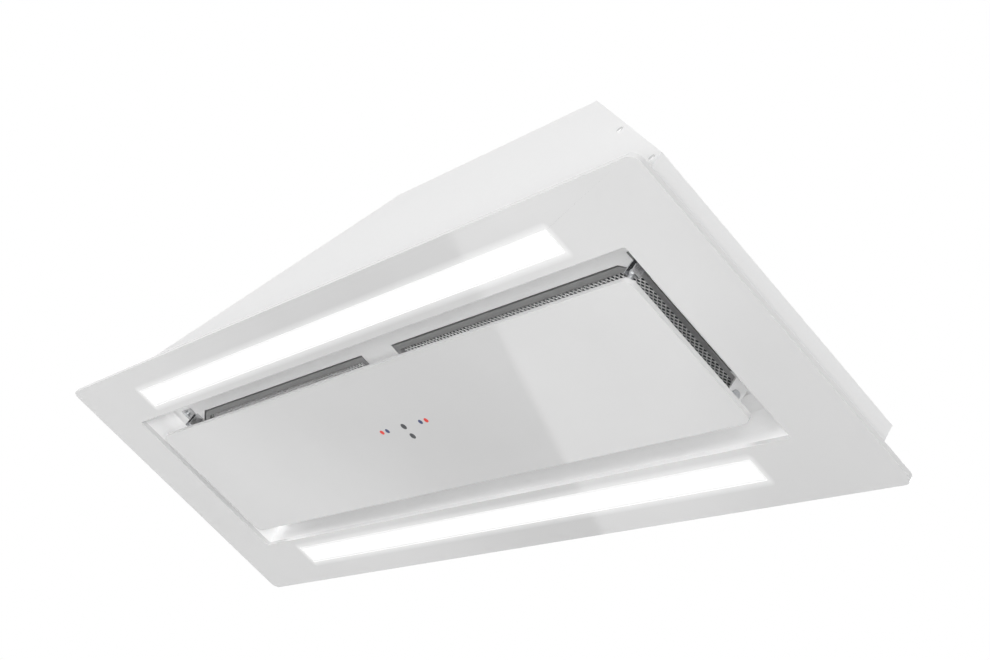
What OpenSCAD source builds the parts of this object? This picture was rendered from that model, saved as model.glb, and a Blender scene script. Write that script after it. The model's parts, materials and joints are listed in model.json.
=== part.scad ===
// Cabinet-insert range hood with a glass frame, a drop-down glass panel and perimeter suction.
// Millimetres. X runs along the hood, +Y to the rear, +Z up. The origin is the middle of the hood
// at the face of the support flange that seats under the cabinet floor.

/* [Glass frame] */
// Length of the glass frame
frame_w = 860; // [850:1:900]
// Depth of the glass frame
frame_d = 292; // [288:1:310]
// Thickness of the glass
glass_t = 4; // [3:0.5:6]
// Corner radius of the glass frame
frame_r = 8; // [2:1:16]
// Width of the glass at each end of the suction opening
border_end = 64.5; // [60:0.5:69]
// Width of the glass in front of and behind the suction opening
border_side = 57; // [56:0.5:61]
// Corner radius of the suction opening
opening_r = 2; // [1:0.5:4]

/* [Light windows] */
// Distance of each light window from the ends of the glass frame
light_end = 114; // [110:1:180]
// Width of a light window
light_d = 21; // [16:0.5:21.5]
// Distance of each light window's middle line from the edge of the glass frame
light_edge = 35.3; // [35:0.1:36]
// Height of the lamp housing above the glass
lamp_h = 17; // [12:0.5:20]

/* [Casing] */
// Distance of the casing from the ends of the glass frame
casing_end = 20; // [15:1:22]
// Distance of the casing from the front and rear edges of the glass frame
casing_side = 22; // [15:1:22]
// Height of the upright end walls above the flange
wall_h = 31; // [31:1:40]
// Height of the flat top above the flange
casing_h = 160; // [158:1:190]
// Place of the top's left edge, from the middle
top_left = -20; // [-30:1:-10]
// Place of the top's right edge, from the middle
top_right = 250; // [250:1:270]
// Sheet thickness
sheet_t = 1; // [0.8:0.1:1.2]
// Width of the folded lips that carry the side panels
lip_w = 9; // [9:1:14]
// Width of the support flange outside the casing
flange_out = 12; // [8:1:14]

/* [Recess] */
// Height of the filter ledge above the flange
ledge_z = 25; // [22:1:26]
// Radius of the curved recess wall
cove_r = 16; // [12:1:18]
// Distance of the filter apertures from the ends of the suction opening
aperture_end = 37.5; // [36:0.5:45]
// Mean distance of the apertures from the front and rear edges of the suction opening
aperture_side = 23.5; // [23:0.5:28]
// Shift of the apertures and filters to the rear
aperture_y = 3.5; // [0:0.5:4.5]
// Width of the bar between the apertures
bar_w = 45; // [40:1:60]
// Width of the tray rim that is bonded to the glass
rim_w = 8; // [5:0.5:9]

/* [Grease filters] */
// Clearance round a filter in its aperture
filter_gap = 1.5; // [1:0.1:2]
// Thickness of a filter
filter_t = 9; // [8:0.5:12]
// Width of the solid filter rim
filter_rim = 8; // [6:0.5:14]
// Pitch of the mesh openings
mesh_pitch = 9; // [8:0.5:14]
// Width across a mesh opening
mesh_hole = 5; // [3:0.5:5.5]
// Travel of the filter latch
latch_travel = 5.5; // [4:0.5:6]

/* [Glass panel] */
// Width of the suction slot at each end of the panel
slot_end = 16.5; // [12:0.5:24]
// Width of the suction slots in front of and behind the panel
slot_side = 21.5; // [19:0.5:24]
// Corner radius of the glass panel
panel_r = 8; // [3:1:14]
// Distance that the panel hangs below the glass frame
panel_proud = 2.5; // [0:0.1:3]
// Height of the folded edge of the panel's backing tray
tray_h = 4; // [3:0.5:6]
// Inset of the backing tray from the edge of the glass
tray_inset = 5; // [3:0.5:6]

/* [Hinge and catches] */
// Distance of the hinge axis from the panel's rear edge
hinge_in = 11.5; // [11:0.5:12.5]
// Height of the hinge axis above the flange
hinge_z = 12; // [11:0.5:13]
// Radius of the hinge pins
pin_r = 2; // [1.5:0.1:2.5]
// Distance of the catches from the panel's front edge
catch_in = 9.5; // [9.5:0.5:13.5]
// Radius of the catch stud's ball
ball_r = 3; // [2.5:0.1:3.5]

/* [Blower] */
// Place of the impeller axis, from the middle
blower_x = 20; // [18:1:24]
// Outer radius of the impeller
impeller_r = 84; // [78:1:85]
// Number of impeller blades
blade_count = 36; // [24:1:40]
// Radial depth of the blades
blade_depth = 16; // [12:1:18]
// Least radius of the scroll
scroll_r = 91; // [89:1:93]
// Distance of the scroll's widest part from the outside of the casing
scroll_side = 9; // [8:0.5:12]
// Room between the scroll housing and the casing's top
scroll_room = 32; // [29:1:35]
// Height of the blower deck's upper face above the flange
deck_z = 59; // [56:1:60]
// Radius of the motor can
motor_r = 46; // [40:1:46]

/* [Outlet] */
// Outer radius of the outlet collar
collar_r = 75; // [70:0.5:76]
// Height of the outlet collar above the casing
collar_h = 40; // [36:1:44]
// Place of the outlet collar, from the middle
collar_x = 125; // [122:1:128]

/* [Hidden] */
$fn = 64;

// Shared clearances
seat_gap = 0.3;
running_gap = 0.05;
over = 1;

// Main outlines, each set in from the one that holds it
opening_w = frame_w - 2 * border_end;
opening_d = frame_d - 2 * border_side;
light_w = frame_w - 2 * light_end;
light_y = frame_d / 2 - light_edge;
casing_w = frame_w - 2 * casing_end;
casing_d = frame_d - 2 * casing_side;
aperture_w = opening_w - 2 * aperture_end;
aperture_d = opening_d - 2 * aperture_side;
panel_w = opening_w - 2 * slot_end;
panel_d = opening_d - 2 * slot_side;
hinge_y = panel_d / 2 - hinge_in;
catch_y = panel_d / 2 - catch_in;
// The hinge ears stand at the outer ends of the apertures
ear_x = aperture_w / 2;

// Heights of the glass layer, whose upper face is under the flange
glass_top = -sheet_t;
glass_low = glass_top - glass_t;

// Heights of the glass panel
panel_low = glass_low - panel_proud;
panel_top = panel_low + glass_t;
panel_floor = panel_top + sheet_t;

// Screws
screw_r = 1.5;
screw_head_r = 2.8;
screw_head_h = 1.8;

// An outline with round corners, centred on the axes
module rounded_outline(w, d, r) {
    square([w - 2 * r, d], center = true);
    square([w, d - 2 * r], center = true);
    for (sx = [-1, 1], sy = [-1, 1])
        translate([sx * (w / 2 - r), sy * (d / 2 - r)])
            circle(r);
}

// A flat plate that stands on height z
module plate(w, d, r, z, t) {
    translate([0, 0, z])
        linear_extrude(t)
            rounded_outline(w, d, r);
}

// A box given by its lowest corner and its highest corner
module box_between(low, high) {
    translate(low)
        cube(high - low);
}

// A vertical cylinder between two heights
module rod(r, z0, z1) {
    translate([0, 0, z0])
        cylinder(r = r, h = z1 - z0);
}

// A vertical tube between two heights
module tube(outer_r, inner_r, z0, z1) {
    translate([0, 0, z0])
        linear_extrude(z1 - z0)
            difference() {
                circle(outer_r);
                circle(inner_r);
            }
}

// A pan-head screw that points up, with the underside of its head at z
module screw_up(z, length) {
    rod(screw_head_r, z - screw_head_h, z);
    rod(screw_r, z, z + length);
}

// A pan-head screw that points down, with the underside of its head at z
module screw_down(z, length) {
    rod(screw_head_r, z, z + screw_head_h);
    rod(screw_r, z - length, z);
}

// The second of a left and right pair is the mirror image of the first
module to_side(side) {
    if (side > 0)
        children();
    else
        mirror([1, 0, 0])
            children();
}

// Glass frame

module opening_outline() {
    rounded_outline(opening_w, opening_d, opening_r);
}

module light_window_outline(clear) {
    rounded_outline(light_w - 2 * clear, light_d - 2 * clear, 1.5);
}

module glass_frame() {
    color([0.86, 0.87, 0.87])
        translate([0, 0, glass_low])
            linear_extrude(glass_t)
                difference() {
                    rounded_outline(frame_w, frame_d, frame_r);
                    opening_outline();
                    for (sy = [-1, 1])
                        translate([0, sy * light_y])
                            light_window_outline(0);
                }
}

module support_flange() {
    color([0.75, 0.76, 0.77])
        translate([0, 0, glass_top])
            linear_extrude(sheet_t)
                difference() {
                    rounded_outline(casing_w + 2 * flange_out, casing_d + 2 * flange_out, 4);
                    square([casing_w, casing_d], center = true);
                }
}

// Recess tray: bonded rim, walls that curve in to the ledge, and the two filter apertures

// The corners at the outer end of each aperture are cut off
corner_cut = [18, 11];

// The right aperture, moved inward by t, in clockwise order
function aperture_points(t) = inset_outline([
    [bar_w / 2, -aperture_d / 2],
    [bar_w / 2, aperture_d / 2],
    [aperture_w / 2 - corner_cut[0], aperture_d / 2],
    [aperture_w / 2, aperture_d / 2 - corner_cut[1]],
    [aperture_w / 2, -aperture_d / 2 + corner_cut[1]],
    [aperture_w / 2 - corner_cut[0], -aperture_d / 2]
], t);

// The place of an aperture and its filter
module at_aperture(side) {
    to_side(side)
        translate([0, aperture_y, 0])
            children();
}

// The recess in section, w wide inside, moved outward by grow, from the height foot up to the ledge
module recess_section(w, grow, foot) {
    translate([-w / 2 - grow, foot])
        square([w + 2 * grow, ledge_z - cove_r - foot]);
    translate([-w / 2 + cove_r, foot])
        square([w - 2 * cove_r, ledge_z + grow - foot]);
    for (sx = [-1, 1])
        translate([sx * (w / 2 - cove_r), ledge_z - cove_r])
            intersection() {
                circle(cove_r + grow);
                translate([sx > 0 ? 0 : -cove_r - grow, 0])
                    square(cove_r + grow);
            }
}

// The room inside the recess, or its outside where grow is the sheet's thickness
module recess_room(grow, foot) {
    intersection() {
        wall_between(-opening_d, opening_d)
            recess_section(opening_w, grow, foot);
        rotate(90)
            wall_between(-opening_w, opening_w)
                recess_section(opening_d, grow, foot);
    }
}

bracket_screw_out = 11;
ledge_screw_x = ear_x + bracket_screw_out;
bracket_screw_reach = 8;
bracket_screw_y = [
    [ledge_screw_x, hinge_y - bracket_screw_reach],
    [ledge_screw_x, hinge_y + bracket_screw_reach],
    [ledge_screw_x, -catch_y - bracket_screw_reach],
    [ledge_screw_x, -catch_y + bracket_screw_reach]
];

module recess_tray() {
    color([0.84, 0.85, 0.85])
        difference() {
            union() {
                recess_room(sheet_t, glass_top);
                translate([0, 0, glass_top])
                    linear_extrude(sheet_t)
                        square([opening_w + 2 * rim_w, opening_d + 2 * rim_w], center = true);
            }
            recess_room(0, glass_top - over);
            translate([0, 0, ledge_z - over])
                linear_extrude(sheet_t + 2 * over) {
                    for (side = [-1, 1])
                        at_aperture(side)
                            polygon(aperture_points(0));
                    for (side = [-1, 1], at = bracket_screw_y)
                        translate([side * at[0], at[1]])
                            circle(screw_r + running_gap);
                }
        }
}

// Lights

lamp_d = light_d + 3;
lamp_w = light_w + 8;
lamp_wall = 1.2;
diffuser_flange_t = 1.5;
led_board_t = 1.6;
led_count = 32;
led_size = [5, 2.8, 0.8];

module light_diffuser(sy) {
    color([1, 1, 1])
        translate([0, sy * light_y, 0]) {
            translate([0, 0, glass_low])
                linear_extrude(glass_t)
                    light_window_outline(seat_gap);
            plate(lamp_w - 2 * lamp_wall - seat_gap, lamp_d - 2 * lamp_wall - seat_gap, 1,
                glass_top, diffuser_flange_t);
        }
}

module light_housing(sy) {
    color([0.7, 0.71, 0.72])
        translate([0, sy * light_y, 0])
            difference() {
                plate(lamp_w, lamp_d, 1.5, glass_top, lamp_h);
                plate(lamp_w - 2 * lamp_wall, lamp_d - 2 * lamp_wall, 1, glass_top - over,
                    lamp_h + over - lamp_wall);
            }
}

module led_strip(sy) {
    board_top = glass_top + lamp_h - lamp_wall;
    board_low = board_top - led_board_t;
    pitch = light_w / led_count;
    translate([0, sy * light_y, 0]) {
        color([0.92, 0.92, 0.9])
            plate(light_w, lamp_d - 2 * lamp_wall - 2, 1, board_low, led_board_t);
        color([1, 0.95, 0.7])
            for (i = [0:led_count - 1])
                translate([(i - (led_count - 1) / 2) * pitch, 0, board_low - led_size[2] / 2])
                    cube(led_size, center = true);
    }
}

// Casing

// The corner of an outline moved inward by t; a and b are its neighbours, in clockwise order
function unit(v) = v / norm(v);
function inward(a, b) = let (d = unit(b - a)) [d[1], -d[0]];
function inset_corner(a, p, b, t) =
    let (m = inward(a, p), n = inward(p, b))
    p + t * (m + n) / (1 + m * n);
function inset_outline(pts, t) =
    let (c = len(pts))
    [for (i = [0:c - 1]) inset_corner(pts[(i + c - 1) % c], pts[i], pts[(i + 1) % c], t)];
function casing_outline(foot) = [
    [-casing_w / 2, foot],
    [-casing_w / 2, wall_h],
    [top_left, casing_h],
    [top_right, casing_h],
    [casing_w / 2, wall_h],
    [casing_w / 2, foot]
];

// An X-Z outline as a wall between two Y values
module wall_between(y0, y1) {
    translate([0, y1, 0])
        rotate([90, 0, 0])
            linear_extrude(y1 - y0)
                children();
}

// The part of the bent strip between two X values
module casing_band(width, x0, x1) {
    intersection() {
        difference() {
            polygon(casing_outline(glass_top));
            polygon(inset_outline(casing_outline(-2 * lip_w), width));
        }
        translate([x0, glass_top - over])
            square([x1 - x0, casing_h + 2 * over - glass_top]);
    }
}

casing_mid_y = casing_d / 2 - sheet_t;
fixing_y = 80;
fixing_z = 12;
fixing_r = 2.25;
gland_y = 60;
gland_z = 16;
gland_r = 8;
// Screws of the side panels on the right slope and at the right end, from the panel's own edges
slope_right = atan2(casing_h - wall_h, casing_w / 2 - top_right);
casing_screw_inset = 6;
casing_screw_head_r = 2.3;
casing_screw_head_h = 1;
casing_screw_at = [
    [(top_right + casing_w / 2) / 2 - casing_screw_inset * sin(slope_right),
        (casing_h + wall_h) / 2 - casing_screw_inset * cos(slope_right)],
    [casing_w / 2 - casing_screw_inset - sheet_t, wall_h - 3]
];
collar_screw_pcd = 2 * collar_r + 14;
collar_screw_turns = [45, 135, 225, 315];

module casing_screw_holes(y) {
    for (at = casing_screw_at)
        translate([at[0], y, at[1]])
            rotate([90, 0, 0])
                cylinder(r = screw_r + running_gap, h = 8 * sheet_t, center = true);
}

module collar_screw_places() {
    for (turn = collar_screw_turns)
        translate([collar_x, 0, 0])
            rotate(turn)
                translate([collar_screw_pcd / 2, 0, 0])
                    children();
}

// A sheet of the casing between two X values, with the lips that carry the side panels
module casing_sheet(x0, x1) {
    wall_between(-casing_mid_y, casing_mid_y)
        casing_band(sheet_t, x0, x1);
    for (sy = [-1, 1])
        wall_between(sy * casing_mid_y - (sy > 0 ? sheet_t : 0),
            sy * casing_mid_y + (sy > 0 ? 0 : sheet_t))
            casing_band(lip_w, x0, x1);
}

module end_wall_hole(x, y, z, r) {
    translate([x, y, z])
        rotate([0, 90, 0])
            cylinder(r = r, h = 4 * sheet_t, center = true);
}

module casing_left() {
    color([0.93, 0.93, 0.92])
        difference() {
            casing_sheet(-casing_w / 2 - over, top_left);
            for (sy = [-1, 1])
                end_wall_hole(-casing_w / 2, sy * fixing_y, fixing_z, fixing_r);
            end_wall_hole(-casing_w / 2, gland_y, gland_z, gland_r + running_gap);
        }
}

module casing_top() {
    color([0.93, 0.93, 0.92])
        difference() {
            casing_sheet(top_left, top_right);
            translate([collar_x, 0, 0])
                rod(collar_inner_r, casing_h - 2 * sheet_t, casing_h + over);
            collar_screw_places()
                rod(screw_r + running_gap, casing_h - 2 * sheet_t, casing_h + over);
        }
}

module casing_right() {
    color([0.93, 0.93, 0.92])
        difference() {
            casing_sheet(top_right, casing_w / 2 + over);
            for (sy = [-1, 1]) {
                end_wall_hole(casing_w / 2, sy * fixing_y, fixing_z, fixing_r);
                casing_screw_holes(sy * casing_mid_y);
            }
        }
}

module casing_side_panel(sy) {
    color([0.93, 0.93, 0.92])
        difference() {
            wall_between(sy * casing_mid_y - (sy > 0 ? 0 : sheet_t),
                sy * casing_mid_y + (sy > 0 ? sheet_t : 0))
                polygon(casing_outline(glass_top));
            casing_screw_holes(sy * casing_mid_y);
        }
}

module casing_screws() {
    color([0.9, 0.9, 0.89])
        for (sy = [-1, 1], at = casing_screw_at)
            translate([at[0], sy * casing_d / 2, at[1]])
                rotate([sy * 90, 0, 0]) {
                    rod(casing_screw_head_r, -casing_screw_head_h, 0);
                    rod(screw_r, 0, 6);
                }
}

// Grease filters, modelled on the right side and mirrored to the left

filter_x0 = bar_w / 2 + filter_gap;
filter_x1 = aperture_w / 2 - filter_gap;
filter_half = aperture_d / 2 - filter_gap;
filter_low = ledge_z;
filter_top = filter_low + filter_t;
mesh_t = 1.5;
mesh_low = filter_low + 3;
mesh_bite = 4;
hook_z = ledge_z + sheet_t + seat_gap;
hook_t = 1.5;
hook_y = 35;
hook_half = 6;
hook_reach = 6;

// The latch tongue slides in a pocket of the frame's inner end and lies over the bar
latch_half = 8;
latch_z = hook_z;
latch_t = 2;
latch_gap = 0.2;
latch_bite = 4.5;
latch_tip_x = bar_w / 2 - latch_bite;
latch_l = 15;
latch_back_x = filter_x0 + latch_l;
latch_pocket_x = latch_back_x + latch_travel + 4;
latch_block_x = latch_pocket_x + 3;
latch_block_half = latch_half + 6;
knob_x = filter_x0 + 7;
knob_w = 5;
knob_half = 4;
knob_low = filter_low - 4;

// The filter's outline, moved inward by t, as a plate between two heights
module filter_plate(t, z0, z1) {
    translate([0, 0, z0])
        linear_extrude(z1 - z0)
            polygon(aperture_points(filter_gap + t));
}

module filter_frame(side) {
    color([0.55, 0.56, 0.57])
        at_aperture(side)
            difference() {
                union() {
                    difference() {
                        filter_plate(0, filter_low, filter_top);
                        filter_plate(filter_rim, filter_low - over, filter_top + over);
                        mesh_plate_space();
                    }
                    box_between([filter_x0, -latch_block_half, filter_low],
                        [latch_block_x, latch_block_half, filter_top]);
                    for (sy = [-1, 1])
                        translate([0, sy * hook_y, 0])
                            box_between([filter_x1 - 2, -hook_half, hook_z],
                                [filter_x1 + hook_reach, hook_half, hook_z + hook_t]);
                }
                box_between([filter_x0 - over, -latch_half - latch_gap, latch_z - latch_gap],
                    [latch_pocket_x, latch_half + latch_gap, latch_z + latch_t + latch_gap]);
                box_between([knob_x - latch_gap, -knob_half - latch_gap, filter_low - over],
                    [knob_x + knob_w + latch_travel + latch_gap, knob_half + latch_gap, latch_z]);
            }
}

// The channel in the rim that holds the edge of the mesh
module mesh_plate_space() {
    filter_plate(filter_rim - mesh_bite, mesh_low, mesh_low + mesh_t);
}

// Whether a mesh opening is clear of the frame's rim at a cut corner
cut_start = [aperture_w / 2 - corner_cut[0], aperture_d / 2];
cut_end = [aperture_w / 2, aperture_d / 2 - corner_cut[1]];
function clear_of_cut(x, y) =
    ([x, abs(y)] - cut_start) * inward(cut_start, cut_end) > filter_gap + filter_rim + mesh_hole / 2;

mesh_columns = floor((filter_x1 - filter_x0 - 2 * filter_rim - 2) / mesh_pitch);
mesh_rows = 2 * floor((filter_half - filter_rim - 2) * 2 / mesh_pitch / 2);

module filter_mesh(side) {
    color([0.68, 0.69, 0.7])
        at_aperture(side)
            difference() {
                mesh_plate_space();
                box_between([filter_x0, -latch_block_half - seat_gap, filter_low],
                    [latch_block_x + seat_gap, latch_block_half + seat_gap, filter_top]);
                translate([0, 0, mesh_low - over])
                    linear_extrude(mesh_t + 2 * over)
                        for (i = [0:mesh_columns - 1], j = [0:mesh_rows - 1]) {
                            x = (filter_x0 + filter_x1) / 2 + (i - (mesh_columns - 1) / 2) * mesh_pitch;
                            y = (j - (mesh_rows - 1) / 2) * mesh_pitch;
                            if (clear_of_cut(x, y))
                                translate([x, y])
                                    rotate(45)
                                        square(mesh_hole, center = true);
                        }
            }
}

module filter_latch(side) {
    color([0.3, 0.31, 0.32])
        at_aperture(side) {
            box_between([latch_tip_x, -latch_half, latch_z],
                [latch_back_x, latch_half, latch_z + latch_t]);
            box_between([knob_x, -knob_half, knob_low],
                [knob_x + knob_w, knob_half, latch_z + latch_t / 2]);
        }
}

// Hinge and catches

bracket_t = 1.5;
ear_t = 2;
ear_r = 6.5;
bracket_foot = [18, 24];
arm_x = ear_x - seat_gap - ear_t;

// A foot under the ledge, with two screw holes; it starts at the ear's inner face
module bracket_foot(y) {
    difference() {
        box_between([ear_x, y - bracket_foot[1] / 2, ledge_z - bracket_t],
            [ear_x + bracket_foot[0], y + bracket_foot[1] / 2, ledge_z]);
        for (sy = [-1, 1])
            translate([ledge_screw_x, y + sy * bracket_screw_reach, 0])
                rod(screw_r + running_gap, ledge_z - 2 * bracket_t, ledge_z + over);
    }
}

// An upright plate from x to x + t with a round end at the hinge axis
module hinge_plate(x, t, r, z_end, hole_r) {
    translate([x, 0, 0])
        rotate([90, 0, 90])
            linear_extrude(t)
                difference() {
                    union() {
                        translate([hinge_y, hinge_z])
                            circle(r);
                        translate([hinge_y - r, min(hinge_z, z_end)])
                            square([2 * r, abs(z_end - hinge_z)]);
                    }
                    translate([hinge_y, hinge_z])
                        circle(hole_r);
                }
}

module hinge_bracket(side) {
    color([0.9, 0.9, 0.9])
        to_side(side) {
            bracket_foot(hinge_y);
            hinge_plate(ear_x, ear_t, ear_r, ledge_z - bracket_t / 2, pin_r);
        }
}

module hinge_pins() {
    head_r = pin_r + 1.5;
    head_t = 1.2;
    color([0.75, 0.75, 0.76])
        for (side = [-1, 1])
            to_side(side)
                translate([0, hinge_y, hinge_z])
                    rotate([0, 90, 0]) {
                        rod(pin_r, arm_x - seat_gap - head_t, ear_x + ear_t + head_t);
                        rod(head_r, ear_x + ear_t, ear_x + ear_t + head_t);
                        rod(head_r, arm_x - seat_gap - head_t, arm_x - seat_gap);
                    }
}

tray_inner_half = panel_d / 2 - tray_inset - sheet_t;
arm_r = tray_inner_half - seat_gap - hinge_y;
arm_foot = [16, 20];
arm_foot_t = 1.5;

module hinge_arms() {
    color([0.85, 0.85, 0.86])
        for (side = [-1, 1])
            to_side(side) {
                hinge_plate(arm_x, ear_t, arm_r, panel_floor, pin_r + running_gap);
                box_between([arm_x + ear_t - arm_foot[0], hinge_y - arm_foot[1] + 4, panel_floor],
                    [arm_x + ear_t, hinge_y + 4, panel_floor + arm_foot_t]);
            }
}

stud_shank_r = 2;
stud_foot_r = tray_inner_half - seat_gap - catch_y;
stud_foot_t = 2;
ball_z = 15;
finger_t = 1.5;
finger_half = 4;
catch_x = ear_x + 2;

module catch_studs() {
    color([0.8, 0.8, 0.81])
        for (side = [-1, 1])
            to_side(side)
                translate([catch_x, -catch_y, 0]) {
                    rod(stud_foot_r, panel_floor, panel_floor + stud_foot_t);
                    rod(stud_shank_r, panel_floor, ball_z);
                    translate([0, 0, ball_z])
                        sphere(ball_r);
                }
}

// A clip with two spring fingers that stand on both sides of the stud's ball
module catch_clip(side) {
    reach = ball_r + seat_gap;
    color([0.72, 0.73, 0.74])
        to_side(side) {
            bracket_foot(-catch_y);
            box_between([catch_x - reach - finger_t, -catch_y - finger_half, ledge_z - bracket_t],
                [ear_x, -catch_y + finger_half, ledge_z]);
            for (sx = [-1, 1])
                translate([catch_x + sx * (reach + finger_t / 2), -catch_y, 0])
                    box_between([-finger_t / 2, -finger_half, ball_z - ball_r],
                        [finger_t / 2, finger_half, ledge_z - bracket_t / 2]);
        }
}

module bracket_screws() {
    color([0.7, 0.7, 0.71])
        for (side = [-1, 1], at = bracket_screw_y)
            translate([side * at[0], at[1], 0])
                screw_up(ledge_z - bracket_t, 5);
}

// Glass panel and its controls

mark_t = 0.4;
mark_row_y = -4.7;
mark_low_y = 6.5;
mark_r = 2.4;
mark_dark_r = 3.1;
mark_red_x = 33.1;
mark_blue_x = 24.9;
// The marks and their board stand a little to the right of the panel's middle
marks_x = 3.7;
marks_dark = [[marks_x, mark_row_y], [marks_x, mark_low_y]];
marks_red = [[marks_x - mark_red_x, mark_row_y], [marks_x + mark_red_x, mark_row_y]];
marks_blue = [[marks_x - mark_blue_x, mark_row_y], [marks_x + mark_blue_x, mark_row_y]];

module marks(places, r, z, t) {
    for (at = places)
        translate([at[0], at[1], z])
            cylinder(r = r, h = t);
}

module panel_glass() {
    color([0.85, 0.86, 0.86])
        difference() {
            plate(panel_w, panel_d, panel_r, panel_low, glass_t);
            marks(marks_dark, mark_dark_r, panel_low - over, mark_t + over);
            marks(marks_red, mark_r, panel_low - over, mark_t + over);
            marks(marks_blue, mark_r, panel_low - over, mark_t + over);
        }
}

module touch_mark_dark() {
    color([0.2, 0.2, 0.22])
        marks(marks_dark, mark_dark_r, panel_low, mark_t);
}

module touch_mark_red() {
    color([0.9, 0.2, 0.15])
        marks(marks_red, mark_r, panel_low, mark_t);
}

module touch_mark_blue() {
    color([0.2, 0.3, 0.6])
        marks(marks_blue, mark_r, panel_low, mark_t);
}

touch_board_size = [104, 30];
touch_board_t = 1.6;
touch_margin = 4;
touch_window = touch_board_size - 2 * [touch_margin, touch_margin];
touch_cover_size = touch_board_size + 2 * [touch_margin, touch_margin];
touch_cover_h = 7;
cover_t = 1.5;

module panel_tray() {
    w = panel_w - 2 * tray_inset;
    d = panel_d - 2 * tray_inset;
    r = panel_r - tray_inset / 2;
    color([0.8, 0.81, 0.82])
        difference() {
            plate(w, d, r, panel_top, tray_h);
            plate(w - 2 * sheet_t, d - 2 * sheet_t, r - sheet_t, panel_floor, tray_h);
            translate([marks_x, 0, 0])
                plate(touch_window[0], touch_window[1], 2, panel_top - over, sheet_t + 2 * over);
        }
}

module touch_board() {
    color([0.1, 0.35, 0.2])
        translate([marks_x, 0, 0])
            plate(touch_board_size[0], touch_board_size[1], 2, panel_floor, touch_board_t);
}

module touch_cover() {
    color([0.25, 0.25, 0.27])
        translate([marks_x, 0, 0])
            difference() {
                plate(touch_cover_size[0], touch_cover_size[1], 3, panel_floor, touch_cover_h);
                plate(touch_cover_size[0] - 2 * cover_t, touch_cover_size[1] - 2 * cover_t, 2,
                    panel_floor - over, touch_cover_h + over - cover_t);
            }
}

// Blower

deck_hole_r = 64;
scroll_growth = casing_d / 2 - scroll_side - scroll_r;
deck_end = 17;
deck_x0 = blower_x - scroll_r - scroll_growth - deck_end;
deck_x1 = top_right - 2;
deck_half = casing_d / 2 - sheet_t - seat_gap;
deck_fold = 12;

module blower_deck() {
    color([0.78, 0.79, 0.8])
        difference() {
            union() {
                box_between([deck_x0, -deck_half, deck_z - sheet_t], [deck_x1, deck_half, deck_z]);
                for (sy = [-1, 1])
                    translate([0, sy * (deck_half - sheet_t / 2), 0])
                        box_between([deck_x0, -sheet_t / 2, deck_z - sheet_t],
                            [deck_x1, sheet_t / 2, deck_z + deck_fold]);
            }
            translate([blower_x, 0, 0])
                rod(deck_hole_r, deck_z - 2 * sheet_t, deck_z + over);
            scroll_lug_places()
                rod(screw_r + running_gap, deck_z - 2 * sheet_t, deck_z + over);
        }
}

scroll_wall = 2;
scroll_h = casing_h - scroll_room - deck_z;
scroll_split = deck_z + scroll_h / 2;
scroll_top = deck_z + scroll_h;
tongue_turn = 35;
duct_reach = 117;
duct_x = blower_x + duct_reach;
duct_inner_y = 40;
inlet_r = 60;
scroll_steps = 44;

// The scroll's wall at step i of its turn: it grows evenly from the tongue, clockwise to +Y
scroll_end_turn = -270;
scroll_turn = tongue_turn - scroll_end_turn;
function scroll_point(i, inset) =
    let (f = i / scroll_steps, a = tongue_turn - f * scroll_turn, r = scroll_r + f * scroll_growth - inset)
    [blower_x + r * cos(a), r * sin(a)];
function scroll_outline(inset, reach) = concat(
    [for (i = [0:scroll_steps]) scroll_point(i, inset)],
    [[duct_x + reach, scroll_r + scroll_growth - inset], [duct_x + reach, duct_inner_y + inset]]
);

scroll_lug_r = 6;
scroll_lug_h = 5;
scroll_lug_turns = [-30, -95, -160, -225];
inlet_lip_h = 8;

// The scroll's outer radius at an angle
function scroll_reach(turn) = scroll_r + (tongue_turn - turn) / scroll_turn * scroll_growth;

module scroll_lug_places() {
    for (turn = scroll_lug_turns)
        translate([blower_x, 0, 0])
            rotate(turn)
                translate([scroll_reach(turn) + scroll_lug_r / 2, 0, 0])
                    children();
}

module scroll_lower() {
    color([0.3, 0.31, 0.33]) {
        difference() {
            union() {
                translate([0, 0, deck_z])
                    linear_extrude(scroll_split - deck_z)
                        polygon(scroll_outline(0, 0));
                scroll_lug_places()
                    rod(scroll_lug_r, deck_z, deck_z + scroll_lug_h);
            }
            translate([0, 0, deck_z + scroll_wall])
                linear_extrude(scroll_h)
                    polygon(scroll_outline(scroll_wall, over));
            translate([blower_x, 0, 0])
                rod(inlet_r, deck_z - over, deck_z + scroll_wall + over);
            scroll_lug_places()
                rod(screw_r + running_gap, deck_z - over, deck_z + scroll_lug_h + over);
        }
        translate([blower_x, 0, 0])
            tube(inlet_r + scroll_wall, inlet_r, deck_z + scroll_wall, deck_z + inlet_lip_h);
    }
}

motor_hole_r = 30;
bush_r = 6;
bush_pcd = 2 * (motor_hole_r + bush_r + scroll_wall);
bush_turns = [60, 180, 300];
bush_over = 2.5;

module bush_places() {
    for (turn = bush_turns)
        translate([blower_x, 0, 0])
            rotate(turn)
                translate([bush_pcd / 2, 0, 0])
                    children();
}

module scroll_upper() {
    color([0.34, 0.35, 0.37])
        difference() {
            translate([0, 0, scroll_split])
                linear_extrude(scroll_top - scroll_split)
                    polygon(scroll_outline(0, 0));
            translate([0, 0, scroll_split - over])
                linear_extrude(scroll_top - scroll_split + over - scroll_wall)
                    polygon(scroll_outline(scroll_wall, over));
            translate([blower_x, 0, 0])
                rod(motor_hole_r, scroll_split, scroll_top + over);
            bush_places()
                rod(bush_r, scroll_split, scroll_top + over);
        }
}

module scroll_screws() {
    color([0.7, 0.7, 0.71])
        scroll_lug_places()
            screw_down(deck_z + scroll_lug_h, scroll_lug_h + 3);
}

// Impeller: forward-curved blades between a ring below and a back plate above, with a dished hub

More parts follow.
